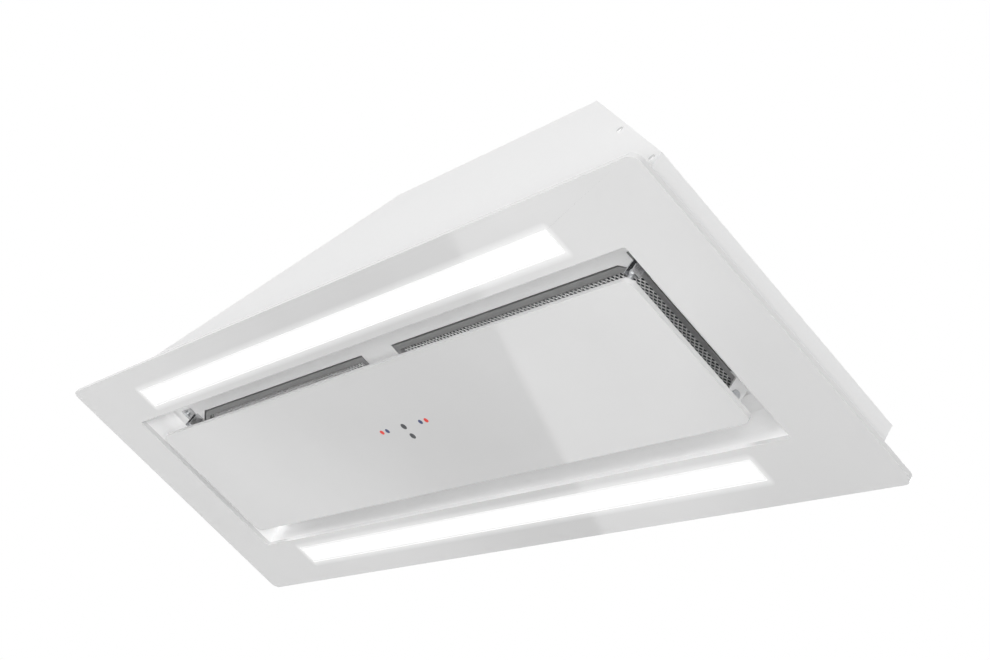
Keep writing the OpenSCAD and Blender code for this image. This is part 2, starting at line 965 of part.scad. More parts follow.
blade_low = deck_z + 8;
blade_top = scroll_top - scroll_wall - 7;
blade_t = 1.2;
blade_lean = 11;
blade_steps = 5;
plate_t = 2;
ring_h = 3;
hub_r = motor_r + 4;
hub_rise = 26;
hub_low = deck_z + hub_rise;
hub_t = 2.5;
boss_r = 10;
boss_h = 10;
shaft_r = 4;

// A blade's middle line runs from the inner to the outer radius and bends forward by blade_lean
function blade_point(f, offset) =
    let (r = impeller_r - blade_depth + f * blade_depth, a = -blade_lean * f * f)
    [r * cos(a) - offset * sin(a - 20 - 40 * f), r * sin(a) + offset * cos(a - 20 - 40 * f)];

module blade_outline() {
    polygon(concat(
        [for (i = [0:blade_steps]) blade_point(i / blade_steps, -blade_t / 2)],
        [for (i = [blade_steps:-1:0]) blade_point(i / blade_steps, blade_t / 2)]
    ));
}

module impeller() {
    color([0.2, 0.2, 0.22])
        translate([blower_x, 0, 0])
            difference() {
                union() {
                    translate([0, 0, blade_low])
                        linear_extrude(blade_top - blade_low)
                            for (i = [0:blade_count - 1])
                                rotate(i * 360 / blade_count)
                                    blade_outline();
                    tube(impeller_r, impeller_r - blade_depth, blade_low - ring_h / 2, blade_low + ring_h / 2);
                    tube(impeller_r, hub_r, blade_top - plate_t / 2, blade_top + plate_t / 2);
                    tube(hub_r + plate_t, hub_r, hub_low, blade_top + plate_t / 2);
                    rod(hub_r + plate_t, hub_low - hub_t, hub_low);
                    rod(boss_r, hub_low - boss_h, hub_low);
                }
                rod(shaft_r, hub_low - boss_h - over, hub_low + over);
            }
}

motor_low = hub_low + 6;
motor_top = scroll_top - scroll_wall - 2;
shaft_low = hub_low - boss_h - 9;

module motor_shaft() {
    color([0.7, 0.71, 0.72])
        translate([blower_x, 0, 0])
            rod(shaft_r, shaft_low, motor_top - 2);
}

module impeller_nut() {
    color([0.65, 0.65, 0.66])
        translate([blower_x, 0, hub_low - boss_h - 6])
            difference() {
                cylinder(r = 2 * shaft_r, h = 6, $fn = 6);
                translate([0, 0, -over])
                    cylinder(r = shaft_r, h = 6 + 2 * over);
            }
}

module motor_can() {
    color([0.5, 0.51, 0.53])
        difference() {
            translate([blower_x, 0, 0])
                rotate_extrude()
                    polygon([
                        [0, motor_low], [motor_r - 6, motor_low], [motor_r - 2, motor_low + 4],
                        [motor_r - 2, motor_low + 9], [motor_r, motor_low + 9],
                        [motor_r, motor_top - 7], [motor_r - 2, motor_top - 7],
                        [motor_r - 2, motor_top], [0, motor_top]
                    ]);
            translate([blower_x, 0, 0])
                rod(shaft_r + running_gap, motor_low - over, motor_top - 1);
            bush_places()
                rod(screw_r + running_gap, motor_top - 9, motor_top + over);
        }
}

module motor_bushes() {
    color([0.1, 0.1, 0.1])
        bush_places() {
            tube(bush_r, screw_r + running_gap, motor_top, scroll_top);
            tube(bush_r + 1.5, screw_r + running_gap, scroll_top, scroll_top + bush_over);
        }
}

module motor_screws() {
    color([0.7, 0.7, 0.71])
        bush_places()
            screw_down(scroll_top + bush_over, scroll_top + bush_over - motor_top + 8);
}

capacitor_r = 12;
capacitor_l = 58;
capacitor_off = 48;
capacitor_x = blower_x - capacitor_off;
capacitor_y = -55;
capacitor_z = scroll_top + capacitor_r + seat_gap;
clip_t = 1;
clip_w = 14;
clip_foot = 9;

module run_capacitor() {
    color([0.85, 0.85, 0.86])
        translate([capacitor_x, capacitor_y, capacitor_z])
            rotate([-90, 0, 0]) {
                rod(capacitor_r, -capacitor_l / 2, capacitor_l / 2);
                rod(3, capacitor_l / 2, capacitor_l / 2 + 6);
            }
}

// A saddle clip: a half ring over the capacitor, two upright legs and two feet
module capacitor_clip() {
    bore = capacitor_r + seat_gap;
    color([0.7, 0.71, 0.72])
        wall_between(capacitor_y - clip_w / 2, capacitor_y + clip_w / 2)
            translate([capacitor_x, 0]) {
                translate([0, capacitor_z])
                    difference() {
                        circle(bore + clip_t);
                        circle(bore);
                        translate([-2 * bore, -2 * bore])
                            square([4 * bore, 2 * bore]);
                    }
                for (side = [0, 1])
                    mirror([side, 0]) {
                        translate([bore, scroll_top])
                            square([clip_t, capacitor_z - scroll_top]);
                        translate([bore, scroll_top])
                            square([clip_foot, clip_t]);
                    }
            }
}

// Outlet

collar_wall = 1.5;
collar_inner_r = collar_r - collar_wall;
box_wall = 1.5;
box_x0 = duct_x + seat_gap;
box_x1 = top_right - 3;
box_y0 = -collar_r - 4;
box_y1 = scroll_r + scroll_growth + 2.5;
box_step_x = collar_x - collar_r - 1;
box_top = casing_h - sheet_t;

module outlet_box() {
    color([0.32, 0.33, 0.35])
        difference() {
            union() {
                box_between([box_x0, box_y0, deck_z], [box_x1, box_y1, box_top]);
                box_between([box_step_x, box_y0, scroll_top + seat_gap], [box_x1, box_y1, box_top]);
            }
            box_between([box_x0 + box_wall, box_y0 + box_wall, deck_z + box_wall],
                [box_x1 - box_wall, box_y1 - box_wall, box_top + over]);
            box_between([box_step_x + box_wall, box_y0 + box_wall, scroll_top + seat_gap + box_wall],
                [box_x1 - box_wall, box_y1 - box_wall, box_top + over]);
            box_between([box_x0 - over, duct_inner_y + scroll_wall, deck_z + scroll_wall],
                [box_x0 + 2 * box_wall, scroll_r + scroll_growth - scroll_wall, scroll_top - scroll_wall]);
        }
}

collar_flange_r = collar_r + 12;
flap_stop_z = casing_h + 12;
flap_stop_w = 4;
axle_z = flap_stop_z + 6;
axle_r = 2;
axle_boss_r = 5;

module outlet_collar() {
    color([0.3, 0.31, 0.33])
        translate([collar_x, 0, 0])
            difference() {
                union() {
                    tube(collar_r, collar_inner_r, casing_h, casing_h + collar_h);
                    tube(collar_inner_r + over / 2, collar_inner_r - flap_stop_w, flap_stop_z - 2, flap_stop_z);
                    tube(collar_flange_r, collar_inner_r, casing_h, casing_h + 2);
                    for (sy = [-1, 1])
                        translate([0, sy * (collar_inner_r - 1.2), axle_z])
                            rotate([90, 0, 0])
                                cylinder(r = axle_boss_r, h = 3, center = true);
                }
                translate([0, 0, axle_z])
                    rotate([90, 0, 0])
                        cylinder(r = axle_r, h = 2 * collar_inner_r, center = true);
                for (turn = collar_screw_turns)
                    rotate(turn)
                        translate([collar_screw_pcd / 2, 0, 0])
                            rod(screw_r + running_gap, casing_h - over, casing_h + 3);
            }
}

module collar_screws() {
    color([0.7, 0.7, 0.71])
        collar_screw_places()
            screw_down(casing_h + 2, 6);
}

module flap_axle() {
    color([0.7, 0.71, 0.72])
        translate([collar_x, 0, axle_z])
            rotate([90, 0, 0])
                cylinder(r = axle_r, h = 2 * collar_inner_r, center = true);
}

flap_r = collar_inner_r - 1.7;
flap_t = 1.2;
flap_low = flap_stop_z + 0.2;
flap_gap_x = 0.4;
knuckle_r = axle_r + 1.4;
knuckle_l = 22;
knuckle_pitch = 26;

// The left flap; its knuckles and the right flap's take turns along the axle
module flap(side) {
    color([0.45, 0.46, 0.48])
        translate([collar_x, 0, 0])
            rotate(side > 0 ? 180 : 0) {
                difference() {
                    union() {
                        translate([0, 0, flap_low])
                            linear_extrude(flap_t)
                                intersection() {
                                    circle(flap_r);
                                    translate([-2 * flap_r - knuckle_r - flap_gap_x, -flap_r])
                                        square(2 * flap_r);
                                }
                        for (k = [-1.5, 0.5])
                            translate([0, k * knuckle_pitch, 0]) {
                                translate([0, 0, axle_z])
                                    rotate([90, 0, 0])
                                        cylinder(r = knuckle_r, h = knuckle_l, center = true);
                                box_between([-knuckle_r - 2, -knuckle_l / 2, flap_low],
                                    [0, knuckle_l / 2, flap_low + flap_t]);
                                box_between([-knuckle_r, -knuckle_l / 2, flap_low],
                                    [-knuckle_r + flap_t, knuckle_l / 2, axle_z]);
                            }
                    }
                    translate([0, 0, axle_z])
                        rotate([90, 0, 0])
                            cylinder(r = axle_r + running_gap, h = 2 * flap_r, center = true);
                }
            }
}

// Electrics, hung under the left slope

slope_left = atan2(casing_h - wall_h, top_left + casing_w / 2);
slope_length = norm([top_left + casing_w / 2, casing_h - wall_h]);

// Places a child in the left slope's own frame: x runs up the slope, z = 0 is its inner face
module under_left_slope(along) {
    translate([-casing_w / 2, 0, wall_h])
        rotate([0, -slope_left, 0])
            translate([along, 0, -sheet_t - seat_gap])
                children();
}

// The driver keeps clear of the scroll, and the control box stands below it on the slope
driver_down = 145;
driver_at = slope_length - driver_down;
driver_size = [44, 80, 17];
control_gap = 6;
control_size = [110, 110, 19];
control_at = driver_at - control_gap - control_size[0];
control_wall = 2;
lid_t = 2;

module control_box() {
    color([0.88, 0.88, 0.86])
        under_left_slope(control_at)
            difference() {
                box_between([0, -control_size[1] / 2, -control_size[2]],
                    [control_size[0], control_size[1] / 2, 0]);
                box_between([control_wall, -control_size[1] / 2 + control_wall, -control_size[2] - over],
                    [control_size[0] - control_wall, control_size[1] / 2 - control_wall, -control_wall]);
            }
}

module control_box_lid() {
    color([0.8, 0.8, 0.78])
        under_left_slope(control_at)
            box_between([0, -control_size[1] / 2, -control_size[2] - lid_t],
                [control_size[0], control_size[1] / 2, -control_size[2]]);
}

terminal_size = [20, 10, 12];
terminal_count = 5;
terminal_place = [12, -28];

module terminal_block() {
    color([0.95, 0.95, 0.95])
        under_left_slope(control_at)
            for (i = [0:terminal_count - 1])
                translate([terminal_place[0], terminal_place[1] + i * terminal_size[1], 0])
                    box_between([0, 0, -control_wall - terminal_size[2]],
                        [terminal_size[0], terminal_size[1], -control_wall]);
}

module led_driver() {
    color([0.9, 0.9, 0.92])
        under_left_slope(driver_at)
            box_between([0, -driver_size[1] / 2, -driver_size[2]],
                [driver_size[0], driver_size[1] / 2, 0]);
}

gland_bore_r = 4.5;
gland_in = 12;
gland_out = 8;

module at_gland() {
    translate([-casing_w / 2, gland_y, gland_z])
        rotate([0, 90, 0])
            children();
}

module cable_gland() {
    color([0.15, 0.15, 0.16])
        at_gland()
            difference() {
                union() {
                    rod(gland_r, 0, gland_in);
                    rod(gland_r + 2.5, -gland_out, 0);
                }
                rod(gland_bore_r, -gland_out - over, gland_in + over);
            }
}

module gland_nut() {
    color([0.2, 0.2, 0.21])
        at_gland()
            difference() {
                translate([0, 0, sheet_t])
                    cylinder(r = gland_r + 4, h = 5, $fn = 6);
                rod(gland_r, 0, gland_in);
            }
}

glass_frame();
support_flange();
recess_tray();
light_diffuser(-1);  // light_diffuser_front
light_diffuser(1);  // light_diffuser_rear
light_housing(-1);  // light_housing_front
light_housing(1);  // light_housing_rear
led_strip(-1);  // led_strip_front
led_strip(1);  // led_strip_rear
casing_left();
casing_top();
casing_right();
casing_side_panel(-1);  // casing_front_panel
casing_side_panel(1);  // casing_rear_panel
casing_screws();
filter_frame(-1);  // filter_frame_left
filter_frame(1);  // filter_frame_right
filter_mesh(-1);  // filter_mesh_left
filter_mesh(1);  // filter_mesh_right
filter_latch(-1);  // filter_latch_left
filter_latch(1);  // filter_latch_right
hinge_bracket(-1);  // hinge_bracket_left
hinge_bracket(1);  // hinge_bracket_right
hinge_pins();
catch_clip(-1);  // catch_clip_left
catch_clip(1);  // catch_clip_right
bracket_screws();
panel_glass();
panel_tray();
hinge_arms();
catch_studs();
touch_board();
touch_cover();
touch_mark_dark();
touch_mark_red();
touch_mark_blue();
blower_deck();
scroll_lower();
scroll_upper();
scroll_screws();
impeller();
motor_shaft();
impeller_nut();
motor_can();
motor_bushes();
motor_screws();
run_capacitor();
capacitor_clip();
outlet_box();
outlet_collar();
collar_screws();
flap_axle();
flap(-1);  // flap_left
flap(1);  // flap_right
control_box();
control_box_lid();
terminal_block();
led_driver();
cable_gland();
gland_nut();
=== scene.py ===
"""Looks of a built-in range hood: glass frame and panel, light windows, painted recess and casing, grease
filters, touch marks, and the blower, outlet and electrics inside. Metres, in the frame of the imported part:
front is -Y, right is +X and up is +Z."""

import json
import math

import bmesh
import bpy
from bpy.props import FloatProperty, FloatVectorProperty, IntProperty, PointerProperty
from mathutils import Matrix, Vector


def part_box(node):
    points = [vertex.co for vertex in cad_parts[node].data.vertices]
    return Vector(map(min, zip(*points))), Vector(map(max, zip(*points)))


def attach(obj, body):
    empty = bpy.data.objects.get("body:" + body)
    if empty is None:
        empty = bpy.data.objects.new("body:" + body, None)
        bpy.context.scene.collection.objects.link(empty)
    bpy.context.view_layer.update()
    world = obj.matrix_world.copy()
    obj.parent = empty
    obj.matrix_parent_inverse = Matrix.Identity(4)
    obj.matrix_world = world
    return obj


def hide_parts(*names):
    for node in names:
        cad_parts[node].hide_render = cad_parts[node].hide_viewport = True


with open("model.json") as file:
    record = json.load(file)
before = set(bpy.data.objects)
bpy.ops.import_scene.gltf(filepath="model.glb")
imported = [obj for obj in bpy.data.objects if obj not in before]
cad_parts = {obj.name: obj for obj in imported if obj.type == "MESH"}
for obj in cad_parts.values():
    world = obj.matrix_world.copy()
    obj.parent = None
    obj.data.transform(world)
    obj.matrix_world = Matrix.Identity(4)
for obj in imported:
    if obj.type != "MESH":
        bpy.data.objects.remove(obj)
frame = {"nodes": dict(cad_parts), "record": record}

bl_info = {
    "name": "Built-in range hood",
    "version": (1, 0, 0),
    "blender": (4, 5, 0),
    "location": "3D View > Sidebar > Range hood",
    "description": "Gives the packed range hood its glass, paint, metal, lights and studio",
    "category": "Object",
}

MM = 0.001
WHITE = (1, 1, 1, 1)
BLACK = (0, 0, 0, 1)
BODY_OF = {node: body for body, nodes in frame["record"]["behaviour"]["bodies"].items() for node in nodes}
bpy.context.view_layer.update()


def linear(code):
    """An sRGB hex code as the linear colour that a shader takes, by the curve of the sRGB standard."""
    channels = [int(code[i:i + 2], 16) / 255 for i in (0, 2, 4)]
    return (*(c / 12.92 if c <= 0.04045 else ((c + 0.055) / 1.055) ** 2.4 for c in channels), 1.0)


class HoodSettings(bpy.types.PropertyGroup):
    """Sizes and colours that a user may change."""

    glass: FloatVectorProperty(name="Glass", description="Colour of the print behind the glass",
                               subtype="COLOR", size=4, min=0, max=1, default=linear("C4C4C4"))
    paint: FloatVectorProperty(name="Paint", description="Colour of the painted steel",
                               subtype="COLOR", size=4, min=0, max=1, default=linear("F2F2F2"))
    light: FloatVectorProperty(name="Light", description="Colour of the light windows",
                               subtype="COLOR", size=4, min=0, max=1, default=linear("FFFFFF"))
    light_strength: FloatProperty(name="Light strength", description="Brightness of the light windows",
                                  min=0, max=5, default=1.25)
    edge: FloatProperty(name="Glass edge", description="Width of the ground edge of the glass",
                        subtype="DISTANCE", unit="LENGTH", min=0.0001, max=0.001, default=0.5 * MM)
    fold: FloatProperty(name="Sheet edge", description="Rounding of the edges of sheet metal and small parts",
                        subtype="DISTANCE", unit="LENGTH", min=0.0001, max=0.0005, default=0.25 * MM)
    roll: FloatProperty(name="Rolled edge", description="Rounding of the rolled edges of the filter frames",
                        subtype="DISTANCE", unit="LENGTH", min=0.0005, max=0.002, default=1.2 * MM)
    mesh_pitch: FloatProperty(name="Mesh pitch", description="Distance between the filter's openings",
                              subtype="DISTANCE", unit="LENGTH", min=0.003, max=0.009, default=4.6 * MM)
    mesh_strand: FloatProperty(name="Mesh strand", description="Width of the filter's strands",
                               subtype="DISTANCE", unit="LENGTH", min=0.0004, max=0.002, default=0.8 * MM)
    mesh_layers: IntProperty(name="Mesh layers", description="Sheets of mesh in a filter",
                             min=1, max=4, default=1)


def settings():
    """The sizes and colours as they are set in this scene."""
    return bpy.context.scene.range_hood


# Materials

# A surface goes from its dark to its pale shade between these values of a noise, and gently so in a print
NOISE, PRINT_NOISE = (0.35, 0.65), (0.3, 0.7)
# Length and width of a light window's clear glass
WINDOW = (632 * MM, 21 * MM)
# More than any height on the hood, so that height never puts a point outside a window
ANY_HEIGHT = 10
# Spread of the print's own unevenness, and its darkest and palest shade as shares of its colour
PRINT_SPREAD, PRINT_SHADES = 120 * MM, (0.985, 1.015)
# Between these upright shares of its normal, the glass turns from its ground edge to its flat face
EDGE_TO_FACE = (0.3, 0.9)
# Light in the glass fades over this distance at its face, and further where it leaves at the ground edge
FACE_GLOW, EDGE_GLOW = 6 * MM, 20 * MM
# How strong that light is, and which share of it shows beside a window at the face
GLOW_STRENGTH, FACE_GLOW_SHARE = 0.6, 0.33
# A light window's rim has this share of its light, which grows on a curve to the whole over this depth
RIM_LIGHT, RIM_CURVE, RIM_DEPTH = 0.18, 2.2, 6 * MM
# Width and height of powder coat's orange peel in millimetres, and its darker shade as a share of its colour
PEEL, PEEL_HEIGHT, COAT_SHADE = 1.5, 0.006, 0.985
# Width of a zinc crystal on galvanised steel, and the roughness of the smoothest and the roughest
CRYSTAL, CRYSTAL_ROUGHNESS = 9 * MM, (0.34, 0.5)
# Distance between the tracks of a circuit board: about 7.5 mm, wider than real ones, so that they show
TRACK_PITCH = 2.4 * math.pi * MM
# A wave texture has so many radians to a unit
WAVE_RADIANS = 20
# Between these values of that wave, board turns to track
TRACK_SIDE = (0.45, 0.55)
# Finishes with a grain: name, darker and paler shade, grain and height of its bump in millimetres, how much
# the grain is drawn out along the hood where that is below 1, and the shader's own values
GRAINED = {
    # Painted shade: screw heads get a darker colour than the sheet round them, which mutes the light their
    # domed heads catch, and a rougher, weaker shine
    "screw painted shade": ("Dull paint on screw heads", "D0D0D0", "D6D6D6", 1.5, 0.006, 1,
                    {"Roughness": 0.7, "Specular IOR Level": 0.2}),
    # Etched aluminium is a dull, even grey with hardly any shine
    "etched": ("Etched aluminium", "979797", "9F9F9F", 0.6, 0.004, 0.1, {"Metallic": 0.25, "Roughness": 0.5}),
    # Rolled aluminium is drawn out along the hood, so its lines are long and narrow
    "rolled": ("Rolled aluminium", "8F9193", "A9ABAD", 0.4, 0.004, 0.02,
               {"Metallic": 1.0, "Roughness": 0.36}),
    # Stretched strands are bright where the slit metal was sheared, and dull between
    "mesh": ("Expanded aluminium mesh", "D4D4D4", "F0F0F0", 1.2, 0.01, 1,
             {"Metallic": 0.25, "Roughness": 0.45}),
    # Zinc plating is pale and smooth, with a soft shine
    "zinc": ("Zinc-plated steel", "C4C6C9", "DADCDE", 2, 0.003, 1, {"Metallic": 0.6, "Roughness": 0.3}),
    # Spring steel is bright and smooth, so it shows dark and pale stripes of what is round it
    "spring": ("Bright spring steel", "C1C1C2", "D1D1D2", 2, 0.002, 1, {"Metallic": 1.0, "Roughness": 0.2}),
    # Die-cast aluminium is dull, with the coarse skin of its mould
    "cast": ("Die-cast aluminium", "85878A", "9A9C9F", 0.8, 0.03, 1, {"Metallic": 1.0, "Roughness": 0.5}),
    # Moulded plastics carry a fine spark-eroded grain, which makes them matt
    "dark abs": ("Dark moulded ABS", "2C2E30", "35373A", 0.5, 0.01, 1, {"Roughness": 0.5}),
    "grey abs": ("Grey moulded ABS", "575A5E", "606367", 0.5, 0.01, 1, {"Roughness": 0.48}),
    "white abs": ("White moulded ABS", "DEDDD8", "E8E7E2", 0.5, 0.01, 1, {"Roughness": 0.45}),
    # Rubber is nearly black, and too rough to shine
    "rubber": ("Black rubber", "141414", "1C1C1C", 1, 0.02, 1, {"Roughness": 0.75}),
    # Screen-printed marks lie under the glass face, so they are as smooth as the glass
    "ink dark": ("Dark printed mark", "3A3B3F", "45464A", 1, 0, 1, {"Roughness": 0.3, "Coat Weight": 1.0}),
    "ink red": ("Red printed mark", "D8200C", "DF2C16", 1, 0, 1, {"Roughness": 0.3, "Coat Weight": 1.0}),
    "ink blue": ("Blue printed mark", "2A3560", "323E6C", 1, 0, 1, {"Roughness": 0.3, "Coat Weight": 1.0}),
    # Yellow lamps stand close together on a white board, so the strip looks mottled
    "lamp": ("Yellow phosphor lamps on a white board", "F2E9C0", "F6F6F2", 4, 0, 1, {"Roughness": 0.5}),
}


def add(tree, kind, sockets=None, **values):
    """A shader node with its settings, its socket values and its links. Sockets go by name or number: a mix
    has its factor at 0, numbers at 2 and 3, colours at 6 and 7 and the mixed colour at output 2, and a map
    range has its value at 0 and goes from 1 and 2 to 3 and 4, which are 0 and 1 where they aren't given."""
    node = tree.nodes.new("ShaderNode" + kind)
    for name, value in values.items():
        setattr(node, name, value)
    for name, value in (sockets or {}).items():
        if isinstance(value, bpy.types.NodeSocket):
            tree.links.new(value, node.inputs[name])
        else:
            node.inputs[name].default_value = value
    return node


def empty_tree(holder):
    """The node tree of a material or a world, with nothing in it."""
    holder.use_nodes = True
    holder.node_tree.nodes.clear()
    return holder.node_tree


def blank(name, sockets):
    """A new material and its one surface shader."""
    material = bpy.data.materials.new(name)
    tree = empty_tree(material)
    shader = add(tree, "BsdfPrincipled", sockets)
    add(tree, "OutputMaterial", {"Surface": shader.outputs[0]})
    return material, tree, shader


def grained(name, dark, pale, grain, bump, along, sockets):
    """A surface whose colour wavers between two near shades over grains of a real size, with a bump of a
    real height."""
    material, tree, shader = blank(name, sockets)
    place = add(tree, "TexCoord").outputs["Object"]
    drawn = add(tree, "Mapping", {"Vector": place, "Scale": (along, 1, 1)}).outputs[0]
    noise = add(tree, "TexNoise", {"Vector": drawn, "Scale": 1 / (grain * MM), "Detail": 4}).outputs["Fac"]
    share = add(tree, "MapRange", {0: noise, 1: NOISE[0], 2: NOISE[1]}).outputs[0]
    colour = add(tree, "Mix", {0: share, 6: dark, 7: pale}, data_type="RGBA").outputs[2]
    tree.links.new(colour, shader.inputs["Base Color"])
    if bump:
        height = add(tree, "Bump", {"Height": noise, "Distance": bump * MM, "Strength": 1.0})
        tree.links.new(height.outputs[0], shader.inputs["Normal"])
    return material


def shaded(colour, factor):
    """A colour made darker or paler."""
    return (*(channel * factor for channel in colour[:3]), 1.0)


def past_window(tree):
    """How far a point lies past the sides of the nearer light window, along and across the hood, which is
    below 0 inside. The windows mirror each other, so each place is folded onto one quarter of one window."""
    low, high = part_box("light_diffuser_rear")
    place = add(tree, "TexCoord").outputs["Object"]
    for origin in ((0, (low.y + high.y) / 2, 0), (WINDOW[0] / 2, WINDOW[1] / 2, ANY_HEIGHT)):
        folded = add(tree, "VectorMath", {0: place}, operation="ABSOLUTE").outputs[0]
        place = add(tree, "VectorMath", {0: folded, 1: origin}, operation="SUBTRACT").outputs[0]
    return place


def printed_glass():
    """Float glass with a white print behind it: even colour under a clear, flat, mirror-smooth face. Its
    ground edge is paler than its face, partly as ground glass is and partly as painted light that lifts its
    side faces where they lie in shade, and light from the windows bleeds into it for a few millimetres."""
    material, tree, shader = blank("White back-painted glass", {
        "Roughness": 0.35, "Specular IOR Level": 0.3, "Coat Weight": 1.0, "Coat Roughness": 0.012,
        "Coat IOR": 1.52, "Emission Strength": GLOW_STRENGTH})
    place = add(tree, "TexCoord")
    noise = add(tree, "TexNoise", {"Vector": place.outputs["Object"], "Scale": 1 / PRINT_SPREAD,
                                   "Detail": 2}).outputs["Fac"]
    share = add(tree, "MapRange", {0: noise, 1: PRINT_NOISE[0], 2: PRINT_NOISE[1]}).outputs[0]
    dark, pale = (shaded(settings().glass, factor) for factor in PRINT_SHADES)
    print_colour = add(tree, "Mix", {0: share, 6: dark, 7: pale}, data_type="RGBA").outputs[2]

    up = add(tree, "SeparateXYZ", {0: place.outputs["Normal"]}).outputs[2]
    upright = add(tree, "Math", {0: up}, operation="ABSOLUTE").outputs[0]
    face = add(tree, "MapRange", {0: upright, 1: EDGE_TO_FACE[0], 2: EDGE_TO_FACE[1]}).outputs[0]
    # Painted light in part: the ground edge gets a paler colour than the print, partly the whiter look of
    # ground glass, partly to lift the side faces that lie in shade
    colour = add(tree, "Mix", {0: face, 6: linear("DADADA"), 7: print_colour}, data_type="RGBA").outputs[2]
    tree.links.new(colour, shader.inputs["Base Color"])

    clear = add(tree, "VectorMath", {0: past_window(tree), 1: (0, 0, 0)}, operation="MAXIMUM").outputs[0]
    outside = add(tree, "VectorMath", {0: clear}, operation="LENGTH").outputs["Value"]
    at_face = add(tree, "MapRange", {0: outside, 2: FACE_GLOW, 3: FACE_GLOW_SHARE, 4: 0.0}).outputs[0]
    at_edge = add(tree, "MapRange", {0: outside, 2: EDGE_GLOW, 3: 1.0, 4: 0.0}).outputs[0]
    fading = add(tree, "Mix", {0: face, 2: at_edge, 3: at_face}, data_type="FLOAT").outputs[0]
    glow = add(tree, "Mix", {0: fading, 6: BLACK, 7: settings().light}, data_type="RGBA").outputs[2]
    tree.links.new(glow, shader.inputs["Emission Color"])
    return material


def lit_acrylic():
    """Opal acrylic lit from behind by the strip: even white light that falls off softly in the last few
    millimetres at the print."""
    material, tree, shader = blank("Lit opal acrylic", {
        "Base Color": linear("CACACA"), "Roughness": 0.4, "Emission Strength": settings().light_strength})
    past = add(tree, "SeparateXYZ", {0: past_window(tree)})
    side = add(tree, "Math", {0: past.outputs[0], 1: past.outputs[1]}, operation="MAXIMUM").outputs[0]
    depth = add(tree, "MapRange", {0: side, 1: -RIM_DEPTH, 2: 0.0, 3: 1.0, 4: 0.0}).outputs[0]
    curve = add(tree, "Math", {0: depth, 1: RIM_CURVE}, operation="POWER").outputs[0]
    share = add(tree, "MapRange", {0: curve, 3: RIM_LIGHT}).outputs[0]
    glow = add(tree, "Mix", {0: share, 6: BLACK, 7: settings().light}, data_type="RGBA").outputs[2]
    tree.links.new(glow, shader.inputs["Emission Color"])
    return material


def powder_coat(name, roughness, shine):
    """White powder coat: it has a fine orange peel, which blurs what it mirrors."""
    paint = settings().paint
    return grained(name, shaded(paint, COAT_SHADE), paint, PEEL, PEEL_HEIGHT, 1,
                   {"Roughness": roughness, "Specular IOR Level": shine})


def galvanised():
    """Hot-dip galvanised steel: grey metal with flat crystals that each shine a little differently."""
    material, tree, shader = blank("Galvanised steel", {"Metallic": 1.0})
    place = add(tree, "TexCoord").outputs["Object"]
    crystals = add(tree, "TexVoronoi", {"Vector": place, "Scale": 1 / CRYSTAL}).outputs["Color"]
    share = add(tree, "SeparateXYZ", {0: crystals}).outputs[0]
    colour = add(tree, "Mix", {0: share, 6: linear("A6A9AB"), 7: linear("BDBFC1")}, data_type="RGBA")
    roughness = add(tree, "MapRange", {0: share, 3: CRYSTAL_ROUGHNESS[0], 4: CRYSTAL_ROUGHNESS[1]})
    tree.links.new(colour.outputs[2], shader.inputs["Base Color"])
    tree.links.new(roughness.outputs[0], shader.inputs["Roughness"])
    return material


def circuit_board():
    """Glass-fibre board under green solder mask, whose copper tracks show as paler lines."""
    material, tree, shader = blank("Green circuit board", {"Roughness": 0.3, "Coat Weight": 0.4})
    place = add(tree, "TexCoord").outputs["Object"]
    scale = 2 * math.pi / (WAVE_RADIANS * TRACK_PITCH)
    lines = add(tree, "TexWave", {"Vector": place, "Scale": scale, "Distortion": 2.0,
                                  "Detail": 1.0}).outputs["Fac"]
    track = add(tree, "MapRange", {0: lines, 1: TRACK_SIDE[0], 2: TRACK_SIDE[1]}).outputs[0]
    colour = add(tree, "Mix", {0: track, 6: linear("12502F"), 7: linear("2C7A4C")}, data_type="RGBA")
    tree.links.new(colour.outputs[2], shader.inputs["Base Color"])
    return material


def make_materials():
    """One material for each real finish on the hood."""
    made = {
        "glass": printed_glass(),
        "acrylic": lit_acrylic(),
        "paint": powder_coat("White powder coat on steel", 0.5, 0.25),
        # The recess has a smoother coat, so it shines more
        "recess": powder_coat("White powder coat in the recess", 0.3, 0.5),
        "galvanised": galvanised(),
        "board": circuit_board(),
    }
    for key, (name, dark, pale, *values) in GRAINED.items():
        made[key] = grained(name, linear(dark), linear(pale), *values)
    return made


